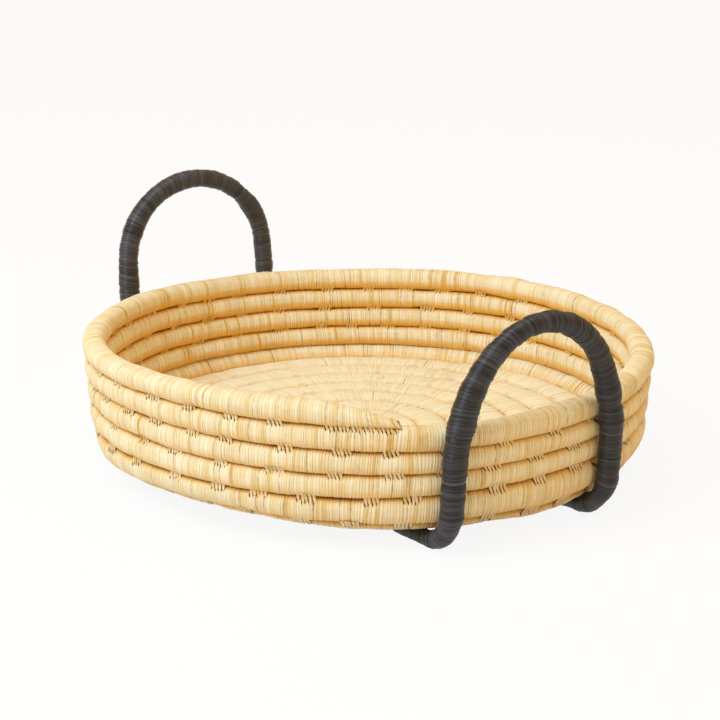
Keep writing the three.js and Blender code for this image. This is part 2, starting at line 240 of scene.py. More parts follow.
def quadMesh(name, points, corners, look, uv):
    # corners: faces x 4 point numbers, look: the four shares of each point, uv: faces x 4 x 2 in mm
    faces = len(corners)
    mesh = bpy.data.meshes.new(name)
    mesh.vertices.add(points.size // 3)
    mesh.vertices.foreach_set("co", (points * mm).astype(np.float32).reshape(-1))
    mesh.loops.add(faces * 4)
    mesh.loops.foreach_set("vertex_index", corners.astype(np.int32).reshape(-1))
    mesh.polygons.add(faces)
    mesh.polygons.foreach_set("loop_start", np.arange(0, faces * 4, 4, dtype=np.int32))
    mesh.update(calc_edges=True)
    mesh.polygons.foreach_set("use_smooth", np.ones(faces, dtype=bool))
    colours = mesh.color_attributes.new("strand", "FLOAT_COLOR", "POINT")
    colours.data.foreach_set("color", look.astype(np.float32).reshape(-1))
    layer = mesh.uv_layers.new(name="wrap")
    layer.data.foreach_set("uv", (uv * mm).astype(np.float32).reshape(-1))
    mesh.validate()
    return mesh


def strandLook(points, tone=0, seamShade=0, warmShade=0, cleftShade=0):
    # the four shares of each point that the raffia's material reads: its tone, then painted shade in its
    # crease, warm towards a groove and dark down in it
    look = np.zeros(points.shape[:-1] + (4,))
    for channel, share in enumerate((tone, seamShade, warmShade, cleftShade)):
        look[..., channel] = share
    return look


def tubeMesh(name, points, look, along, around):
    # points: rows x columns x 3, along and around: where each row and each column lies in mm
    rows, columns = points.shape[:2]
    row, column = np.meshgrid(np.arange(rows - 1), np.arange(columns), indexing="ij")
    nextColumn = (column + 1) % columns
    corners = np.stack([row * columns + column, (row + 1) * columns + column,
                        (row + 1) * columns + nextColumn, row * columns + nextColumn], axis=-1)
    around = np.concatenate([around, [around[-1] + (around[-1] - around[-2])]])
    u = np.stack([along[row], along[row + 1], along[row + 1], along[row]], axis=-1)
    v = np.stack([around[column], around[column], around[column + 1], around[column + 1]], axis=-1)
    return quadMesh(name, points, corners.reshape(-1, 4), look, np.stack([u, v], axis=-1))


def unit(vectors):
    return vectors / np.linalg.norm(vectors, axis=-1, keepdims=True)


def stepLengths(points):
    return np.linalg.norm(np.diff(points, axis=0), axis=1)


def addPiece(name, mesh, material, slotName, *nodes):
    piece = bpy.data.objects.new(name, mesh)
    bpy.context.scene.collection.objects.link(piece)
    mesh.materials.append(material)
    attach(piece, "root")
    if nodes:
        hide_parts(*nodes)
    return piece


def wander(place, step, size, seed):
    # smooth random drift along a length, with a new value every step
    random = np.random.default_rng(seed)
    first = place.min() - step
    knots = random.normal(0, size, int((place.max() - first) / step) + 4)
    at = (place - first) / step
    low = at.astype(int)
    return mix(knots[low], knots[low + 1], smooth(at - low, 0, 1))


# A strand's form, as shares: how much widths and creases vary, where its crown and far shoulder lie, and
# how dark the painted shade in its crease is
strandForm = {
    "widths": (0.5, 1.7), "creases": (0.5, 1.3), "looseCrease": 2.4, "crown": 0.24, "shoulder": 0.76,
    "shoulderLift": 0.8, "seamShades": (0.4, 0.85), "looseSeamShade": 0.45,
}


def strandRows(start, end, wrap, seed):
    # three rows a strand: the seam, the crown after it and the far shoulder, which the next strand laps
    random = np.random.default_rng(seed)
    count = int((end - start) / wrap["strandWidth"])
    widths = np.clip(random.normal(1, wrap["widthSpread"], count), *strandForm["widths"])
    edges = start + np.concatenate([[0], np.cumsum(widths)]) * (end - start) / widths.sum()
    width = np.diff(edges)
    loose = random.random(count) < wrap["looseShare"]
    height = random.normal(0, wrap["unevenness"], count)
    crease = wrap["crease"] * random.uniform(*strandForm["creases"], count)
    crease = crease * np.where(loose, strandForm["looseCrease"], 1)
    tone = np.clip(random.normal(wrap["tone"], wrap["toneSpread"], count), 0, 1)
    place = np.stack([edges[:-1], edges[:-1] + strandForm["crown"] * width,
                      edges[:-1] + strandForm["shoulder"] * width], axis=-1)
    lift = np.stack([-crease, wrap["ridge"] + height,
                     strandForm["shoulderLift"] * wrap["ridge"] + height], axis=-1)
    seamShade = np.where(loose, 1, random.uniform(*strandForm["seamShades"], count))
    seamShade = np.stack([seamShade, np.where(loose, strandForm["looseSeamShade"], 0), np.zeros(count)], axis=-1)
    return {"place": place.reshape(-1), "lift": lift.reshape(-1), "seamShade": seamShade.reshape(-1),
            "tone": np.repeat(tone, 3)}


# Sizes as in the CAD model, so that the bundle lies in the same place
bundle = {
    "rimRadius": 228.0, "rimHeight": 90.5, "wallPitch": 17.64, "wallThickness": 18.4, "wallFlare": 0.084,
    "floorThickness": 12.4, "floorPitch": 26.0, "cornerRadius": 18.0, "turnGap": 0.5, "widthChange": 26.0,
    "rimEnd": math.radians(-31), "startReach": 44.0, "startWidth": 0.42, "startClearance": 0.8,
    "tailLength": 84.0, "tailEnd": 0.16, "stations": 480, "halvings": 40,
    "shoulderShare": 0.57,                           # how far out on a tilted turn its lowest point lies
    "wallSquareness": 2.45, "floorSquareness": 2.7,  # 2 is an oval, and more has flatter sides
    "wallPress": 0.5, "floorPress": 0.8,             # mm that a turn is pressed into its neighbour
}

# How far the hand-made wall stands above or below a true round, in mm: two lines for each height, given as a
# share of the rim's, with a value every 12 degrees round the tray
handDrift = {
    "step": 12,
    "levels": [0.1, 0.35, 0.6, 0.8, 0.95, 1.08],
    "rise": [
        [-0.3, -0.5, -0.5, -0.1, -0.2, -0.3, -3.4, 0.2, 2.9, 3.3, 2.4, -0.5, -2.7, -3.3, -2.9,
         -5.1, -3.0, -2.3, -2.5, -2.4, -1.3, 1.8, 1.8, 1.4, 0.9, 0.3, 0.1, 0.1, 0.0, -0.2],
        [-1.8, -1.6, -1.5, -1.4, -0.3, -0.5, 2.5, 2.4, 2.9, 2.3, 1.5, 1.1, 0.8, 1.0, 1.9,
         2.9, 3.7, 1.9, 3.4, 3.9, 1.5, 5.3, 5.4, 4.9, 3.0, 1.7, 0.5, -0.4, -1.1, -1.3],
        [-1.8, -1.1, -0.6, -1.1, -0.9, 0.2, 3.9, 4.5, 4.9, 4.0, 2.6, 1.4, 0.0, -0.4, 0.7,
         1.6, 2.1, 1.0, 2.2, 2.3, 4.9, 4.4, 4.0, 2.6, 1.9, 1.2, -0.2, -1.8, -2.3, -2.1],
        [-2.1, -0.9, 0.4, 0.2, 0.3, 0.9, 4.5, 6.0, 6.6, 5.8, 4.2, 3.0, 1.0, -0.8, -0.5,
         1.0, 1.5, 1.3, 2.8, 1.3, 3.8, 3.6, 2.2, 2.2, 2.0, 1.0, -0.7, -2.2, -2.6, -2.2],
        [-2.7, -1.4, 0.0, 0.0, 0.3, 0.5, 2.8, 4.4, 5.8, 5.8, 4.5, 3.5, 1.4, -1.9, -1.6,
         -0.1, 0.7, 1.3, 3.5, 0.0, 1.3, 1.9, 1.9, 1.9, 1.4, 0.4, -1.3, -2.6, -3.0, -2.5],
        [-3.1, -1.8, -0.5, -0.8, 0.0, 0.8, 1.2, 2.2, 3.8, 4.4, 4.0, 3.4, 1.8, -1.2, -1.8,
         -0.4, 0.4, 1.0, 3.2, -0.2, 0.6, 1.5, 1.9, 1.9, 1.1, 0.1, -1.5, -2.8, -3.2, -2.7],
    ],
}

floorMiddle = bundle["floorThickness"] / 2
wallTilt = math.atan2(1, bundle["wallFlare"])
halfWallAcross = bundle["wallThickness"] / 2 / math.sin(wallTilt)
footRadius = (bundle["rimRadius"] - halfWallAcross
              - bundle["wallFlare"] * (bundle["rimHeight"] - floorMiddle))
cornerReach = bundle["cornerRadius"] * math.tan(wallTilt / 2)
floorRun = footRadius - cornerReach
cornerTop = floorMiddle + cornerReach * math.sin(wallTilt)
wallRun = (bundle["rimHeight"] - cornerTop) / math.sin(wallTilt)
profileRun = floorRun + bundle["cornerRadius"] * wallTilt + wallRun
wallHalfWidth = (bundle["wallPitch"] / math.sin(wallTilt) - bundle["turnGap"]) / 2


def sectionAt(distance):
    # middle, tilt and half sizes of the bundle at a distance along the profile from the axis to the rim
    bend = np.clip((distance - floorRun) / bundle["cornerRadius"], 0, wallTilt)
    onWall = np.maximum(distance - floorRun - bundle["cornerRadius"] * wallTilt, 0)
    radius = (np.minimum(distance, floorRun) + bundle["cornerRadius"] * np.sin(bend)
              + onWall * math.cos(wallTilt))
    height = floorMiddle + bundle["cornerRadius"] * (1 - np.cos(bend)) + onWall * math.sin(wallTilt)
    widening = mix(bundle["startWidth"], 1, smooth(distance, 0, bundle["startReach"]))
    narrowing = smooth(distance, floorRun - bundle["widthChange"] / 2, floorRun + bundle["widthChange"] / 2)
    flatWidth = (bundle["floorPitch"] - bundle["turnGap"]) / 2 * widening
    halfWidth = mix(flatWidth, wallHalfWidth, narrowing)
    halfThickness = mix(bundle["floorThickness"], bundle["wallThickness"], (bend / wallTilt) ** 2) / 2
    return {"radius": radius, "height": height, "tilt": bend, "halfWidth": halfWidth,
            "halfThickness": halfThickness}


def windBundle():
    # from the end of the rim inwards, each section beside the one a turn further out
    stations = bundle["stations"]
    rows = [profileRun - np.arange(stations) / stations * bundle["wallPitch"] / math.sin(wallTilt)]
    while True:
        outer = sectionAt(rows[-1])
        near, far = rows[-1], rows[-1] - 2 * bundle["floorPitch"]
        for halving in range(bundle["halvings"]):
            middle = (near + far) / 2
            inner = sectionAt(middle)
            spacing = np.hypot(outer["radius"] - inner["radius"], outer["height"] - inner["height"])
            fits = spacing > inner["halfWidth"] + outer["halfWidth"] + bundle["turnGap"]
            far = np.where(fits, middle, far)
            near = np.where(fits, near, middle)
        rows.append(near)
        inner = sectionAt(near)
        if (inner["radius"] - inner["halfWidth"] < bundle["startClearance"]).any():
            break
    sections = sectionAt(np.concatenate(rows))
    ends = np.argmax(sections["radius"] - sections["halfWidth"] < bundle["startClearance"])
    sections["turn"] = -np.arange(len(sections["radius"])) / stations
    wound = {name: values[:ends][::-1].copy() for name, values in sections.items()}
    # the rim's end thins to a tail that stays down on the turn below
    tailTurns = bundle["tailLength"] / (2 * math.pi * wound["radius"][-1])
    along = np.clip(wound["turn"] / tailTurns + 1, 0, 1)
    share = mix(1, bundle["tailEnd"], along ** 2)
    drop = wound["halfWidth"] * (1 - share)
    wound["radius"] -= drop * math.cos(wallTilt) * (along > 0)
    wound["height"] -= drop * math.sin(wallTilt) * (along > 0)
    wound["halfWidth"] *= share
    wound["halfThickness"] *= mix(1, share, 0.5)
    # nothing below the underside of the floor
    sine, cosine = np.sin(wound["tilt"]), np.cos(wound["tilt"])
    shoulder = bundle["shoulderShare"] * wound["halfWidth"] * sine + wound["halfThickness"] * cosine
    below = np.maximum(wound["halfWidth"] * sine, shoulder) - wound["height"]
    wound["height"] += np.maximum(below, 0)
    return wound


wound = windBundle()
standing = wound["tilt"] / wallTilt
wound["squareness"] = mix(bundle["floorSquareness"], bundle["wallSquareness"], standing)
wound["press"] = mix(bundle["floorPress"], bundle["wallPress"], standing)
steps = np.diff(wound["turn"]) * 2 * math.pi * (wound["radius"][1:] + wound["radius"][:-1]) / 2
wound["along"] = np.concatenate([[0], np.cumsum(steps)])
bundleLength = wound["along"][-1]
print("bundle wound: %.2f turns, %.2f m" % (-wound["turn"][0], bundleLength * mm))


def turnAt(along):
    return np.interp(along, wound["along"], wound["turn"])


def alongAt(turn):
    return np.interp(turn, wound["turn"], wound["along"])


def driftAt(degrees, up):
    rise = np.array(handDrift["rise"])
    place = (degrees / handDrift["step"] + 15) % rise.shape[1]
    before = place.astype(int) % rise.shape[1]
    share = place - np.floor(place)
    level = np.interp(up, handDrift["levels"], np.arange(len(rise)))
    low = np.minimum(level.astype(int), len(rise) - 2)
    after = (before + 1) % rise.shape[1]
    lower = mix(rise[low, before], rise[low, after], share)
    upper = mix(rise[low + 1, before], rise[low + 1, after], share)
    return mix(lower, upper, level - low)


def bundlePoint(turn, around, lift):
    # a point on the wrapping: around is 0 where the next turn lies and a quarter turn on the tray's inside
    turn, around, lift = np.broadcast_arrays(turn, around, lift)
    at = {name: np.interp(turn, wound["turn"], wound[name])
          for name in ("radius", "height", "tilt", "halfWidth", "halfThickness", "squareness", "press")}
    width, thickness = at["halfWidth"] + at["press"], at["halfThickness"]
    c, s = np.cos(around), np.sin(around)
    power = 2 / at["squareness"]
    a = width * np.sign(c) * np.abs(c) ** power
    b = thickness * np.sign(s) * np.abs(s) ** power
    outA = np.sign(c) * np.abs(c) ** (2 - power) / width
    outB = np.sign(s) * np.abs(s) ** (2 - power) / thickness
    size = np.hypot(outA, outB)
    a = a + outA / size * lift
    b = b + outB / size * lift
    radius = at["radius"] + a * np.cos(at["tilt"]) - b * np.sin(at["tilt"])
    height = at["height"] + a * np.sin(at["tilt"]) + b * np.cos(at["tilt"])
    angle = bundle["rimEnd"] + turn * 2 * math.pi
    height = height + driftAt(np.degrees(angle), height / bundle["rimHeight"]) * smooth(radius, 150, 200)
    return np.stack([radius * np.cos(angle), radius * np.sin(angle), height], axis=-1) + trayPlace


# The raffia strand round the bundle
wrapping = {
    "strandWidth": 2.0, "widthSpread": 0.25, "ridge": 0.15, "crease": 0.3, "unevenness": 0.07,
    "looseShare": 0.06,    # strands that stand off their neighbour and leave a dark line: a deeper crease with painted shade in it
    "tone": 0.6, "toneSpread": 0.16, "floorSpread": 0.9, "floorTone": 0.28,
    "lean": 0.7,           # mm that a strand leans over half the bundle's width
    "bulge": 0.26, "bulgeStep": 17.0,
    "floorCleftShade": 0.32,    # the floor's grooves are pressed nearly flat and get less painted dark shade
    "points": 32,
    "seed": 11,
}

# Stitches that tie each turn to the one before it
stitching = {
    "spacing": 38.0, "spacingSpread": 5.0,
    "strands": (4, 5), "pitch": 2.8,
    "width": 2.4,
    "reach": 2.0,          # mm below the groove where the needle went in
    "insideReach": 0.7,    # share of that inside the tray, where the next turn hides more of the stitch
    "holeWidth": 0.85,
    "lean": 0.7,           # mm that a stitch leans along the bundle
    "pull": 0.3,           # how far a stitch draws the bundle in
    "warmShade": np.array([0.3, 0.4, 0.55, 0.6, 0.45, 0.2, 0.1]),  # painted warm shade where it crosses the groove
    "floorHoles": 0.3, "insideHoles": 0.3,  # share of the holes that show on the floor and inside the wall
    "tailRun": 52.0, "tailPitch": 3.0,  # along the thinned end every strand goes through to the turn below
    "seed": 23,
}

stitchRandom = np.random.default_rng(stitching["seed"])
firstStitch = alongAt(np.array(wound["turn"][0] + 1.15))
tailStart = bundleLength - bundle["tailLength"]
groupPlaces = [firstStitch]
while groupPlaces[-1] < bundleLength - stitching["tailRun"] - stitching["spacing"] * 1.3:
    spacing = stitchRandom.normal(stitching["spacing"], stitching["spacingSpread"])
    groupPlaces.append(groupPlaces[-1] + spacing)
groupPlaces = np.array(groupPlaces)

rows = strandRows(0, bundleLength, wrapping, wrapping["seed"])
nearest = np.abs(rows["place"][:, None] - groupPlaces[None, :]).min(axis=1)
rows["lift"] += wander(rows["place"], wrapping["bulgeStep"], wrapping["bulge"], 5)
rows["lift"] -= stitching["pull"] * np.exp(-(nearest / 6) ** 2)
rows["lean"] = wrapping["lean"] * (0.6 + wander(rows["place"], 9.0, 0.6, 6))
tailShare = np.clip((rows["place"] - tailStart) / bundle["tailLength"], 0, 1)
rows["lean"] = rows["lean"] - 3.2 * tailShare ** 2
rows["lift"] *= 1 - 0.5 * tailShare
cornerAt = np.argmax(wound["tilt"] > math.radians(8))
wallAt = np.argmax(wound["tilt"] >= wallTilt - 1e-9)
onFloor = rows["place"] < wound["along"][cornerAt]
floorTones = mix(wrapping["tone"], rows["tone"], wrapping["floorSpread"]) + wrapping["floorTone"]
rows["tone"] = np.where(onFloor, floorTones, rows["tone"])
rows["seamShade"] = rows["seamShade"] * np.where(onFloor, wrapping["floorSpread"], 1)
rows["tone"] = np.clip(rows["tone"] + wander(rows["place"], 26.0, 0.04, 7) - 0.25 * tailShare ** 2, 0, 1)

# painted warm shade towards a groove, most of all in the lower half of the turns inside the wall, and painted
# dark shade down in it; the rim's last turn has no groove on top
around = np.linspace(0, 2 * math.pi, wrapping["points"], endpoint=False)
rowTurn = turnAt(rows["place"])
nextShare = smooth(-1 - rowTurn, 0, 0.03)
rowStanding = np.interp(rowTurn, wound["turn"], standing)[:, None]
upwards, near = np.cos(around)[None, :], np.abs(np.cos(around))[None, :]
topShare = np.where(upwards > 0, nextShare[:, None], 1)
insideWarmShade = np.where(upwards > 0, np.minimum(1.5 * near ** 5, 1), near ** 0.38)
outsideWarmShade = np.where(upwards > 0, near ** 5, 0.52 * near ** 0.55)
wallWarmShade = mix(outsideWarmShade, insideWarmShade, smooth(np.sin(around), -0.3, 0.3)[None, :])
warmShade = mix(0.8 * near ** 5, wallWarmShade, rowStanding) * topShare
cleftShade = np.where(upwards > 0, near ** 22, near ** 9) * mix(wrapping["floorCleftShade"], 1, rowStanding) * topShare
stretches = [
    ("floorCoilInner", ["floor_coil_wrapping"]),
    ("floorCoilOuter", ["floor_coil_wrapping"]),
    ("cornerCoil", ["corner_coil_wrapping"]),
    ("wallCoil", ["wall_coil_wrapping"]),
    ("rimCoil", ["rim_coil_wrapping"]),
]
rimStart = mix(wound["along"][wallAt], bundleLength, 0.5)
splices = [0, wound["along"][cornerAt] * 0.55, wound["along"][cornerAt], wound["along"][wallAt], rimStart,
           bundleLength]
splices = [int(round(np.searchsorted(rows["place"], s) / 3)) * 3 for s in splices]
splices[-1] = len(rows["place"]) - 1
girth = 8.9  # mm for each radian round the bundle
for (name, nodes), first, last in zip(stretches, splices[:-1], splices[1:]):
    part = slice(first, last + 1)
    along = rows["place"][part, None] + rows["lean"][part, None] * np.cos(around)[None, :]
    along = np.clip(along, 0, bundleLength)
    points = bundlePoint(turnAt(along), around[None, :], rows["lift"][part, None])
    look = strandLook(points, rows["tone"][part, None], rows["seamShade"][part, None], warmShade[part], cleftShade[part])
    mesh = tubeMesh(name, points, look, rows["place"][part], around * girth)
    addPiece(name, mesh, raffia, "raffia", *nodes)
    print("  %s: %d faces" % (name, len(mesh.polygons)))
print("bundle wrapped")

# The knotted start of the bundle, which fills the eye of the first turn
# the knot takes a little painted warm shade
knot = {"margin": 1.8, "thickness": 4.9, "endShare": 0.97, "girth": 8, "warmShade": 0.08, "points": 20, "seed": 41}
firstTurn = wound["turn"] < wound["turn"][0] + 1
eyeAngle = bundle["rimEnd"] + wound["turn"][firstTurn] * 2 * math.pi
eyeReach = (wound["radius"] - wound["halfWidth"])[firstTurn]
eyeEdge = np.stack([eyeReach * np.cos(eyeAngle), eyeReach * np.sin(eyeAngle)], axis=-1)
knotMiddle = (eyeEdge.max(axis=0) + eyeEdge.min(axis=0)) / 2
knotReach = np.linalg.norm(eyeEdge - knotMiddle, axis=1).max() + knot["margin"]
knotEnd = knot["endShare"] * knotReach
knotRows = strandRows(-knotEnd, knotEnd, wrapping, knot["seed"])
knotAround = np.linspace(0, 2 * math.pi, knot["points"], endpoint=False)[None, :]
knotGirth = (np.sqrt(1 - (knotRows["place"] / knotReach) ** 2) + knotRows["lift"] / knotReach)[:, None]
points = np.stack([knotRows["place"][:, None] + 0 * knotAround, knotReach * knotGirth * np.cos(knotAround),
                   knot["thickness"] * knotGirth * np.sin(knotAround)], axis=-1)
points += np.array([knotMiddle[0], knotMiddle[1], floorMiddle]) + trayPlace
knotTones = np.minimum(knotRows["tone"][:, None] + wrapping["floorTone"], 1)
look = strandLook(points, knotTones, knotRows["seamShade"][:, None], knot["warmShade"])
mesh = tubeMesh("centreKnot", points, look, knotRows["place"], knotAround[0] * knot["girth"])
addPiece("centreKnot", mesh, raffia, "raffia")
print("start knotted: %.1f mm across" % (2 * knotReach))

# The bundle's filling, under the wrapping
filling = {"depth": 2.3, "mostDepth": 0.6, "endGap": 4, "step": 6.0, "girth": 7, "points": 12}
fillAround = np.linspace(0, 2 * math.pi, filling["points"], endpoint=False)
ends = [0, wound["along"][cornerAt], wound["along"][wallAt], rimStart, bundleLength - filling["endGap"]]
for name, start, end in zip(("floor", "corner", "wall", "rim"), ends[:-1], ends[1:]):
    along = np.linspace(start, end, int((end - start) / filling["step"]))
    thin = np.interp(turnAt(along), wound["turn"], np.minimum(wound["halfWidth"], wound["halfThickness"]))
    depth = np.minimum(filling["depth"], thin * filling["mostDepth"])
    points = bundlePoint(turnAt(along)[:, None], fillAround[None, :], -depth[:, None])
    mesh = tubeMesh(name + "Filling", points, strandLook(points), along, fillAround * filling["girth"])
    addPiece(name + "Filling", mesh, grass, "grass", name + "_coil_filling")
print("bundle filled")


def ribbonMesh(name, paths, sides, half, crown, tones, warmShade):
    # paths: ribbons x steps x 3, sides: the same, half: half width at each step, and last the share of
    # painted warm shade at each step
    count, length = paths.shape[:2]
    across = np.array([-1.0, 0.0, 1.0])
    up = unit(np.cross(unit(np.gradient(paths, axis=1)), sides))
    offset = across[None, None, :, None] * half[:, :, None, None]
    points = (paths[:, :, None, :] + sides[:, :, None, :] * offset
              + up[:, :, None, :] * (crown * (1 - np.abs(across)))[None, None, :, None])
    index = np.arange(count * length * 3).reshape(count, length, 3)
    corners = np.stack([index[:, :-1, :-1], index[:, :-1, 1:], index[:, 1:, 1:], index[:, 1:, :-1]], axis=-1)
    corners = corners.reshape(-1, 4)
    # painted shade along both edges of each ribbon
    look = strandLook(points, tones[:, None, None], 0.8 * np.abs(across)[None, None, :], warmShade[..., None])
    steps = np.linalg.norm(np.diff(paths, axis=1), axis=-1)
    run = np.concatenate([np.zeros((count, 1)), np.cumsum(steps, axis=1)], axis=1)
    apart = 7.3 * np.arange(count)[:, None, None]  # each ribbon has fibres and stains of its own
    u = np.broadcast_to(across[None, None, :] * half[:, :, None] + apart, index.shape)
    v = np.broadcast_to(run[:, :, None], index.shape)
    return quadMesh(name, points, corners, look, np.stack([u, v], axis=-1).reshape(-1, 2)[corners])


places = []
for group in groupPlaces:
    number = stitchRandom.integers(stitching["strands"][0], stitching["strands"][1] + 1)
    places += [group + (j - (number - 1) / 2) * stitching["pitch"] + stitchRandom.normal(0, 0.2)
               for j in range(number)]
tailPlaces = np.arange(bundleLength - stitching["tailRun"], bundleLength - 1.5, stitching["tailPitch"])
places = np.concatenate([places, tailPlaces + stitchRandom.normal(0, 0.3, len(tailPlaces))])

for face, side in (("Inside", 1), ("Outside", -1)):
    count = len(places)
    turn = turnAt(places)
    lower = turn - 1
    random = np.random.default_rng(stitching["seed"] + side)
    shift = stitching["lean"] + random.normal(0, 0.2, count)
    reach = stitching["reach"] * random.uniform(0.7, 1.25, count)
    reach = reach * (stitching["insideReach"] if side > 0 else 1)
    lowWidth = np.interp(lower, wound["turn"], wound["halfWidth"] + wound["press"])
    power = np.interp(lower, wound["turn"], wound["squareness"]) / 2
    perMm = 1 / (2 * math.pi * np.interp(turn, wound["turn"], wound["radius"]))

    def belowGroove(depth):
        return side * np.arccos(np.clip(1 - depth / lowWidth, 0, 1) ** power)

    # from the wrapping of the upper turn over the groove and down into the lower turn
    upper = [bundlePoint(turn - share * perMm, side * math.radians(degrees), lift) for degrees, share, lift in
             ((122, 0.4, -0.3), (134, 0.3, 0.02), (148, 0.1, 0.1))]
    hole = bundlePoint(lower + shift * perMm, belowGroove(reach), 0.16)
    dive = bundlePoint(lower + (shift + 0.1) * perMm, belowGroove(reach * 1.15), -1.0)
    path = np.stack(upper + [mix(upper[2], hole, 0.35), mix(upper[2], hole, 0.7), hole, dive], axis=1)
    half = np.array([0.9, 1.0, 1.0, 0.98, 0.86, 0.66, 0.4])[None, :] * stitching["width"] / 2
    half = np.broadcast_to(half, path.shape[:2]) * random.uniform(0.92, 1.06, count)[:, None]
    angle = bundle["rimEnd"] + turn * 2 * math.pi
    sides = np.stack([-np.sin(angle), np.cos(angle), np.zeros(count)], axis=-1)
    sides = np.broadcast_to(sides[:, None, :], path.shape) * side
    tones = np.clip(np.interp(places, rows["place"], rows["tone"]) + random.normal(0, 0.06, count), 0, 1)
    # painted warm shade on the stitches: little on the floor, most inside the wall
    warmShadeShare = np.where(turn < wound["turn"][cornerAt], 0.3, 1.6 if side > 0 else 0.6)
    warmShade = stitching["warmShade"][None, :] * warmShadeShare[:, None]
    mesh = ribbonMesh("stitches" + face, path, -sides, half, 0.12, tones, np.minimum(warmShade, 1))
    addPiece("stitches" + face, mesh, raffia, "raffia")

    # painted shade: dark slots between the strands of a group, from the groove to just past the needle's
    # holes
    slot = random.uniform(0.6, 1.3, count)
    slotTurn = lower + (shift - stitching["pitch"] / 2) * perMm
    rings = [bundlePoint(slotTurn + along * perMm, belowGroove(reach + depth * slot), 0.24)
             for along, depth in ((-0.3, -1.6), (0.0, -0.5), (0.3, 0.5), (0.5, 1.3))]
    path = np.stack(rings, axis=1)
    half = np.array([0.7, 1.0, 0.75, 0.15])[None, :] * stitching["holeWidth"] / 2
    half = np.broadcast_to(half, path.shape[:2]) * random.uniform(0.6, 1.15, count)[:, None]
    low = turn < wound["turn"][wallAt]
    shown = np.where(low, stitching["floorHoles"], 1 if side < 0 else stitching["insideHoles"])
    half = half * np.where(random.random(count) < shown, np.where(low, 1.5, 1), 0.1)[:, None]
    mesh = ribbonMesh("needleHoleShade" + face, path, -sides[:, :4], half, 0.03, tones, np.zeros(half.shape))
    addPiece("needleHoleShade" + face, mesh, holeShade, "raffia")
print("stitches made:", 2 * len(places))


# Sizes as in the CAD model, heights from the underside of the floor
hoops = {
    "span": 140.5, "offset": -20.0, "bendRadii": (31.0, 27.0), "runnerRadius": 6.6, "archRadius": 7.4,
    "contactGap": 0.3, "caneRadius": 4.3, "caneLap": 2.0,
    "front": {"side": 1, "spring": 57.0, "top": 153.4, "legRadii": (8.6, 9.9)},
    "back": {"side": -1, "spring": 117.0, "top": 179.0, "legRadii": (6.8, 9.4)},
    "facets": 24, "sides": 10,
}

# How far the bent canes stand off that even shape, in mm at heights: moved round the tray, and thicker
hoopDrift = {
    "front": [
        {"heights": [-6, 20, 40, 63, 90, 111, 125], "move": [0, 2.4, 2.2, 0.9, -1.9, -1.7, 0],
         "swell": [-0.2, -0.4, -0.3, 0, 0.8, 0.8, 0.6]},
        {"heights": [-6, 17, 40, 70, 88, 104, 121, 137], "move": [2.5, 2.7, 2.5, 2.0, 1.9, 1.0, 0.6, 0],
         "swell": [-0.8, -1.4, -1.6, -0.8, 1.2, 1.2, 0.9, 0]},
    ],
    "back": [
        {"heights": [20, 90, 105, 121, 137, 151, 160], "move": [0, -3.4, -3.3, -2.3, -1.5, -0.4, 0],
         "swell": [0, 1.1, 0.9, 0.6, 1.1, 1.0, 0]},
        {"heights": [20, 80, 105, 121, 140, 150], "move": [0, 2.7, 2.5, 1.0, 0, 0],
         "swell": [0, -0.6, -0.9, -1.0, -0.6, 0]},
    ],
}

# The black strand round the cane
hoopWrapping = {
    "strandWidth": 1.35, "widthSpread": 0.35, "ridge": 0.22, "crease": 0.5, "unevenness": 0.16,
    "looseShare": 0.1, "tone": (0.54, 0.78), "toneSpread": 0.18,
    "lean": 0.9, "bulge": 0.32, "bulgeStep": 7.0, "girth": 8.5, "lowest": 0.05, "points": 24, "seed": 31,
}

facetAngle = 2 * math.pi / hoops["facets"]
runnerHeight = -hoops["runnerRadius"] * math.cos(math.pi / hoops["sides"]) - hoops["contactGap"]
legs = [hoops["offset"] + hoops["span"] / 2, hoops["offset"] - hoops["span"] / 2]


def outsideAt(height):
    return bundle["rimRadius"] - bundle["wallFlare"] * (bundle["rimHeight"] - height)


def legReach(height, across, legRadius, side):
    # how far out a leg stands, just clear of the CAD wall's flats
    reach = math.inf
    for facet in range(hoops["facets"]):
        normal = bundle["rimEnd"] + (facet + 0.5) * facetAngle
        facing = math.cos(normal) * side
        if facing > 0:
            flat = outsideAt(height) * math.cos(facetAngle / 2)
            reach = min(reach, (flat + legRadius + hoops["contactGap"] - across * math.sin(normal)) / facing)
    return reach


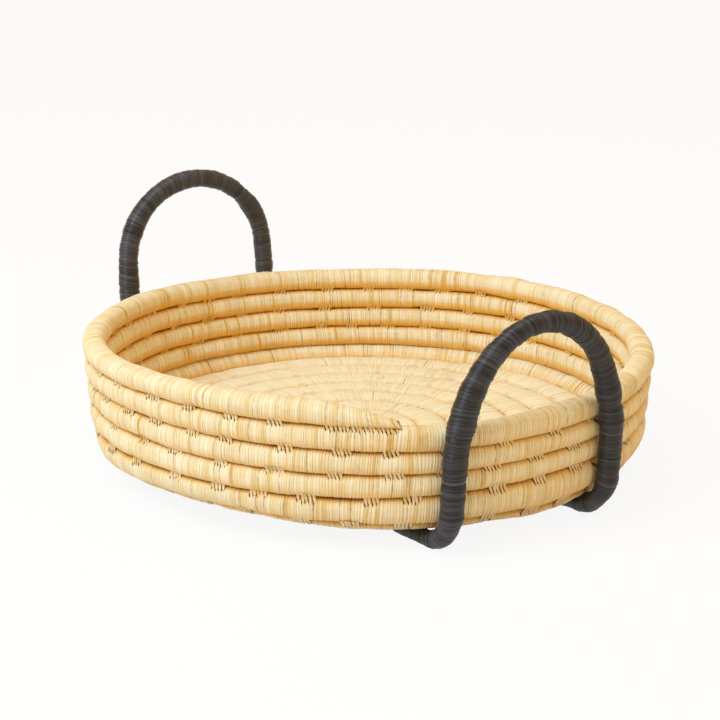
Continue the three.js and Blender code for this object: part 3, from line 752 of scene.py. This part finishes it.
def hoopLine(side, spring, top, legRadii):
    # middle line, direction towards the tray and radius, from one runner's middle to the other's
    def lean(height):
        return side * bundle["wallFlare"] * (height - runnerHeight)

    def archShare(height):
        return math.sqrt(1 - (max(0, height - spring) / (top - spring)) ** 2)

    reaches = [legReach(cornerTop, leg, legRadius, side) for leg, legRadius in zip(legs, legRadii)]
    skew = (reaches[0] - reaches[1]) / hoops["span"]
    corners = []
    for leg, legRadius in zip(legs, legRadii):
        seats = []
        for height in (cornerTop, bundle["rimHeight"]):
            across = mix(hoops["offset"], leg, archShare(height))
            reach = legReach(height, across, legRadius, side)
            seats.append(reach - side * lean(height) - skew * (across - leg))
        corners.append(np.array([side * max(seats), leg, runnerHeight]))
    chord = (corners[0] - corners[1]) / np.linalg.norm(corners[0] - corners[1])
    rise = np.array([side * bundle["wallFlare"], 0, 1])
    rise = rise / np.linalg.norm(rise)
    inward = np.cross(rise, chord)
    inward = inward / np.linalg.norm(inward) * (-1 if inward[0] * side > 0 else 1)

    def half(leg):
        along = np.array([side, 0.0, 0.0])
        turn = math.acos(along @ rise)
        bendRadius = hoops["bendRadii"][leg]
        bendStart = corners[leg] - along * bendRadius * math.tan(turn / 2)
        hub = bendStart + np.array([0, 0, bendRadius])
        stops = [(np.array([0.0, corners[leg][1], runnerHeight]), np.array([0, 0, 1.0]),
                  hoops["runnerRadius"])]
        for step in range(25):
            angle = turn * step / 24
            out = np.array([side * math.sin(angle), 0, -math.cos(angle)])
            stops.append((hub + out * bendRadius, -out, mix(hoops["runnerRadius"], legRadii[leg], step / 24)))
        foot = corners[leg] + np.array([lean(spring), 0, spring - runnerHeight])
        bendEnd = stops[-1][0]
        return stops + [(mix(bendEnd, foot, share), inward, legRadii[leg]) for share in (0.25, 0.5, 0.75, 1)]

    feet = [corners[leg] + np.array([lean(spring), 0, spring - runnerHeight]) for leg in (0, 1)]
    middle = (feet[0] + feet[1]) / 2
    halfChord = np.linalg.norm(corners[0] - corners[1]) / 2
    archRise = (top - spring) / rise[2]
    arch = []
    for step in range(1, 96):
        angle = math.pi * step / 96
        legRadius = legRadii[0 if step < 48 else 1]
        arch.append((middle + chord * halfChord * math.cos(angle) + rise * archRise * math.sin(angle), inward,
                     mix(legRadius, hoops["archRadius"], math.sin(angle))))
    stops = half(0) + arch + half(1)[::-1]
    points, inwards, radii = [np.array(values) for values in zip(*stops)]
    number = np.where(points[:, 1] > hoops["offset"], 0, 1)
    move, swell = np.zeros(len(points)), np.zeros(len(points))
    for leg, drift in enumerate(hoopDrift["front" if side > 0 else "back"]):
        own = number == leg
        move[own] = np.interp(points[own, 2], drift["heights"], drift["move"])
        swell[own] = np.interp(points[own, 2], drift["heights"], drift["swell"])
    swing = move / bundle["rimRadius"] * smooth(np.abs(points[:, 0]), 0, 120)
    points = np.stack([points[:, 0] * np.cos(swing) - points[:, 1] * np.sin(swing),
                       points[:, 0] * np.sin(swing) + points[:, 1] * np.cos(swing), points[:, 2]], axis=-1)
    return [points, inwards, radii + swell]


def tubePoints(line, along, around, lift):
    # points round a line of stops at lengths along it
    places, inward, radius = line
    run = np.concatenate([[0], np.cumsum(stepLengths(places))])
    tangents = np.gradient(places, run, axis=0)

    def at(values):
        return np.stack([np.interp(along, run, values[:, k]) for k in range(3)], axis=-1)

    middle, tangent, inside = at(places), unit(at(tangents)), at(inward)
    inside = unit(inside - tangent * (inside * tangent).sum(axis=-1, keepdims=True))
    outwards = inside * np.cos(around)[..., None] + np.cross(tangent, inside) * np.sin(around)[..., None]
    return middle + outwards * (np.interp(along, run, radius) + lift)[..., None]


hoopLines = {}
hoopAround = np.linspace(0, 2 * math.pi, hoopWrapping["points"], endpoint=False)
caneAround = np.linspace(0, 2 * math.pi, 12, endpoint=False)
for number, name in enumerate(("front", "back")):
    hoop = hoops[name]
    line = hoopLine(hoop["side"], hoop["spring"], hoop["top"], hoop["legRadii"])
    line[0] = line[0] + trayPlace
    hoopLines[name] = line
    length = stepLengths(line[0]).sum()
    hoopStrand = dict(hoopWrapping, tone=hoopWrapping["tone"][number])
    rows = strandRows(0, length, hoopStrand, hoopWrapping["seed"] + number)
    lift = rows["lift"] + wander(rows["place"], hoopWrapping["bulgeStep"], hoopWrapping["bulge"], 40 + number)
    lean = hoopWrapping["lean"] * (1 + wander(rows["place"], 14.0, 0.5, 50 + number))
    along = np.clip(rows["place"][:, None] + lean[:, None] * np.cos(hoopAround + 0.6)[None, :], 0, length)
    points = tubePoints(line, along, np.broadcast_to(hoopAround, along.shape),
                        np.broadcast_to(lift[:, None], along.shape))
    # the runners are pressed flat by what the tray stands on
    points[..., 2] = np.maximum(points[..., 2], hoopWrapping["lowest"])
    look = strandLook(points, rows["tone"][:, None], rows["seamShade"][:, None])
    mesh = tubeMesh(name + "Hoop", points, look, rows["place"], hoopAround * hoopWrapping["girth"])
    addPiece(name + "Hoop", mesh, blackRaffia, "black_raffia", name + "_hoop_wrapping")
    # the cane inside
    inside = np.linspace(hoops["caneLap"], length - hoops["caneLap"], 200)
    rounds = np.broadcast_to(caneAround, (len(inside), len(caneAround)))
    line = [line[0], line[1], np.full(len(line[2]), hoops["caneRadius"])]
    points = tubePoints(line, np.broadcast_to(inside[:, None], rounds.shape), rounds, np.zeros(rounds.shape))
    mesh = tubeMesh(name + "Cane", points, strandLook(points), inside, caneAround * 4)
    addPiece(name + "Cane", mesh, cane, "cane", name + "_hoop_cane")
print("hoops wrapped")


# A few turns of strand round each leg, with both ends drawn into a groove of the wall
lashings = {
    "turns": 3, "strand": 0.9, "clear": -0.45, "depth": 3.5, "narrowing": 0.62, "tilt": 0.5, "pitch": 0.9,
    "gather": 6, "leastGather": 0.25, "tones": (0.3, 0.7), "girth": 0.75, "sides": 8, "seed": 61,
}

for hoopName in ("front", "back"):
    places, inward, radii = hoopLines[hoopName]
    for legNumber, legName in enumerate(("left", "right")):
        half = slice(0, len(places) // 2) if legNumber == 0 else slice(len(places) // 2, None)
        legPlaces, legRadii = places[half], radii[half]
        order = np.argsort(legPlaces[:, 2])
        upright = order[legPlaces[order][:, 2] > trayPlace[2] + cornerTop - 10]
        stand, legRadii = legPlaces[upright], legRadii[upright]
        foot = [np.interp(trayPlace[2] + cornerTop, stand[:, 2], stand[:, k]) for k in (0, 1)]
        outward = math.atan2(foot[1] - trayPlace[1], foot[0] - trayPlace[0])
        for level in ("upper", "lower"):
            node = "%s_%s_%s_lashing" % (hoopName, legName, level)
            low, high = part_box(node)
            height = (low[2] + high[2]) / 2 / mm
            middle = np.array([np.interp(height, stand[:, 2], stand[:, k]) for k in (0, 1)])
            legRadius = np.interp(height, stand[:, 2], legRadii)
            random = np.random.default_rng(lashings["seed"] + len(node) + int(height))
            loops = []
            for turn in range(lashings["turns"]):
                reach = legRadius + lashings["clear"] + lashings["strand"] / 2
                angles = np.linspace(-math.pi / 2, math.pi / 2, 15)
                entry = [-legRadius - lashings["depth"], -legRadius * 0.5]
                x = np.concatenate([entry, reach * np.cos(angles), entry[::-1]])
                narrow = reach * lashings["narrowing"]
                y = np.concatenate([[-narrow, -reach * 0.96], reach * np.sin(angles), [reach * 0.96, narrow]])
                tilt = random.normal(0, lashings["tilt"])
                z = (turn - (lashings["turns"] - 1) / 2) * lashings["strand"] * lashings["pitch"]
                z = z + tilt * np.linspace(-1, 1, len(x))
                gathered = (x + legRadius + lashings["depth"]) / lashings["gather"]
                z = z * np.clip(gathered, lashings["leastGather"], 1)
                px = middle[0] + x * math.cos(outward) - y * math.sin(outward)
                py = middle[1] + x * math.sin(outward) + y * math.cos(outward)
                path = np.stack([px, py, height + z], axis=-1)
                up = np.tile(np.array([0, 0, 1.0]), (len(path), 1))
                loops.append([path, up, np.full(len(path), lashings["strand"] / 2)])
            sideAngles = np.linspace(0, 2 * math.pi, lashings["sides"], endpoint=False)
            for number, loop in enumerate(loops):
                run = np.concatenate([[0], np.cumsum(stepLengths(loop[0]))])
                along = np.broadcast_to(run[:, None], (len(run), lashings["sides"]))
                rounds = np.broadcast_to(sideAngles, along.shape)
                points = tubePoints(loop, along, rounds, np.zeros(along.shape))
                look = strandLook(points, random.uniform(*lashings["tones"]))
                mesh = tubeMesh(node, points, look, run, sideAngles * lashings["girth"])
                addPiece("%s%s%sLashing%d" % (hoopName, legName.title(), level.title(), number), mesh,
                         blackRaffia, "black_raffia", node)
print("lashings made")


# Loose ends of strand that stand off the tray and the hoops here and there
wisps = {
    "count": 70, "hoopCount": 12, "length": (2.5, 6.0), "width": (0.25, 0.7), "heading": 0.9,
    "along": (0.05, 0.98), "start": 0.2, "rise": 1.3, "rises": (0.3, 1.3), "lowest": 0.1, "taper": 0.7,
    "toneSpread": 0.15, "steps": 6, "seed": 71,
}

wispRandom = np.random.default_rng(wisps["seed"])


def wispPiece(name, count, pointsAt, length, material, slotName, tone):
    # pointsAt gives the points for lengths along, angles around and heights off the surface
    share = np.linspace(0, 1, wisps["steps"])[None, :]
    size = wispRandom.uniform(*wisps["length"], count)[:, None]
    heading = wispRandom.uniform(-wisps["heading"], wisps["heading"], count)[:, None]
    along = wispRandom.uniform(*wisps["along"], count)[:, None] * length + size * share * np.cos(heading)
    around = wispRandom.uniform(0, 2 * math.pi, count)[:, None] + size * share * np.sin(heading) / 9
    rises = wispRandom.uniform(*wisps["rises"], count)[:, None]
    lift = wisps["start"] + wisps["rise"] * rises * share ** 1.5
    paths = pointsAt(along, around, lift)
    outward = pointsAt(along, around, lift + 1) - paths
    sides = unit(np.cross(np.gradient(paths, axis=1), outward))
    paths[..., 2] = np.maximum(paths[..., 2], wisps["lowest"])  # the ends under the runners lie on the floor
    half = wispRandom.uniform(*wisps["width"], count)[:, None] / 2 * (1 - wisps["taper"] * share)
    tones = np.clip(wispRandom.normal(tone, wisps["toneSpread"], count), 0, 1)
    # a little painted warm shade on each loose end, and painted shade along its edges
    mesh = ribbonMesh(name, paths, sides, half, 0.05, tones, np.full(half.shape, 0.2))
    addPiece(name, mesh, material, slotName)


wispPiece("looseEnds", wisps["count"], lambda along, around, lift: bundlePoint(turnAt(along), around, lift),
          bundleLength, raffia, "raffia", 0.6)
for name, line in hoopLines.items():
    hoopLength = stepLengths(line[0]).sum()
    wispPiece(name + "LooseEnds", wisps["hoopCount"],
              lambda along, around, lift: tubePoints(line, along, around, lift), hoopLength, blackRaffia,
              "black_raffia", 0.5)
print("loose ends made")

studio = {
    "ambient": {"strength": 0.82, "colour": "#ffd68d"},
    "key": {"place": (-1.2, -1.0, 1.72), "size": 1.4, "power": 41.0, "colour": "#c4e4ff"},
    "top": {"place": (0.3, -0.2, 2.2), "size": 2.4, "power": 7.0, "colour": "#cfe6ff"},
}

# Seen from the camera the tray is turned by this much, so the studio is set out in the camera's directions
viewTurn = Matrix.Rotation(math.radians(52.9), 4, "Z")
middle = Vector((trayPlace[0] * mm, trayPlace[1] * mm, trayPlace[2] * mm))

stageMesh = bpy.data.meshes.new("studioFloor")
stageMesh.from_pydata([(-4, -4, 0), (4, -4, 0), (4, 4, 0), (-4, 4, 0)], [], [(0, 1, 2, 3)])
stage = bpy.data.objects.new("studioFloor", stageMesh)
bpy.context.scene.collection.objects.link(stage)
paper, paperTree = newMaterial("white paper sweep")
rays = addNode(paperTree, "ShaderNodeLightPath")
seen = calculate(paperTree, "MAXIMUM", rays.outputs["Is Camera Ray"], rays.outputs["Is Glossy Ray"])
seen = calculate(paperTree, "MAXIMUM", seen, rays.outputs["Is Transmission Ray"])
paperSurface = addNode(paperTree, "ShaderNodeBsdfDiffuse", {"Color": (0.85, 0.85, 0.85, 1)})
paperGlow = addNode(paperTree, "ShaderNodeEmission", {"Color": (1, 1, 1, 1), "Strength": 1.0})
paperShare = calculate(paperTree, "MULTIPLY", seen, 0.9)
paperMix = addNode(paperTree, "ShaderNodeMixShader", {0: paperShare, 1: paperSurface.outputs[0],
                                                     2: paperGlow.outputs[0]})
addNode(paperTree, "ShaderNodeOutputMaterial", {"Surface": paperMix.outputs[0]})
stageMesh.materials.append(paper)

world = bpy.data.worlds.new("studioWorld")
bpy.context.scene.world = world
world.use_nodes = True
world.node_tree.nodes.clear()
worldRays = addNode(world.node_tree, "ShaderNodeLightPath")
soft = addNode(world.node_tree, "ShaderNodeBackground", {"Color": linear(studio["ambient"]["colour"]),
                                                         "Strength": studio["ambient"]["strength"]})
white = addNode(world.node_tree, "ShaderNodeBackground", {"Color": (1, 1, 1, 1), "Strength": 1.0})
worldMix = addNode(world.node_tree, "ShaderNodeMixShader", {0: worldRays.outputs["Is Camera Ray"],
                                                           1: soft.outputs[0], 2: white.outputs[0]})
addNode(world.node_tree, "ShaderNodeOutputWorld", {"Surface": worldMix.outputs[0]})

for lampName in ("key", "top"):
    lamp = studio[lampName]
    light = bpy.data.lights.new(lampName + "Softbox", "AREA")
    light.shape = "DISK"
    light.size = lamp["size"]
    light.energy = lamp["power"]
    light.color = linear(lamp["colour"])[:3]
    lightObject = bpy.data.objects.new(lampName + "Softbox", light)
    bpy.context.scene.collection.objects.link(lightObject)
    place = viewTurn @ Vector(lamp["place"])
    aim = Vector((0, 0, 0.05)) - place
    lightObject.location = place
    lightObject.rotation_euler = aim.to_track_quat("-Z", "Y").to_euler()

# The photograph's camera, worked out from the rim, the grooves and the hoops
view = {"lens": 104.34, "distance": 1.699, "elevation": 18.6115, "pan": -0.245, "tilt": -2.157,
        "roll": -0.3094}
rise = math.radians(view["elevation"])
down = math.radians(view["elevation"] + view["tilt"])
pan, roll = math.radians(view["pan"]), math.radians(view["roll"])
eye = Vector((0, -view["distance"] * math.cos(rise), view["distance"] * math.sin(rise)))
forward = Vector((math.sin(pan) * math.cos(down), math.cos(pan) * math.cos(down), -math.sin(down)))
right = Vector((math.cos(pan), -math.sin(pan), 0))
up = right.cross(forward)
rolledRight = right * math.cos(roll) - up * math.sin(roll)
rolledUp = right * math.sin(roll) + up * math.cos(roll)
turned = Matrix((rolledRight, rolledUp, -forward)).transposed().to_4x4()
cameraData = bpy.data.cameras.new("photoCamera")
cameraData.sensor_width = 36
cameraData.lens = view["lens"]
cameraData.clip_end = 50
camera = bpy.data.objects.new("photoCamera", cameraData)
bpy.context.scene.collection.objects.link(camera)
camera.matrix_world = Matrix.Translation(middle) @ viewTurn @ Matrix.Translation(eye) @ turned
bpy.context.scene.camera = camera
bpy.context.scene.view_settings.view_transform = "Standard"
print("studio set")
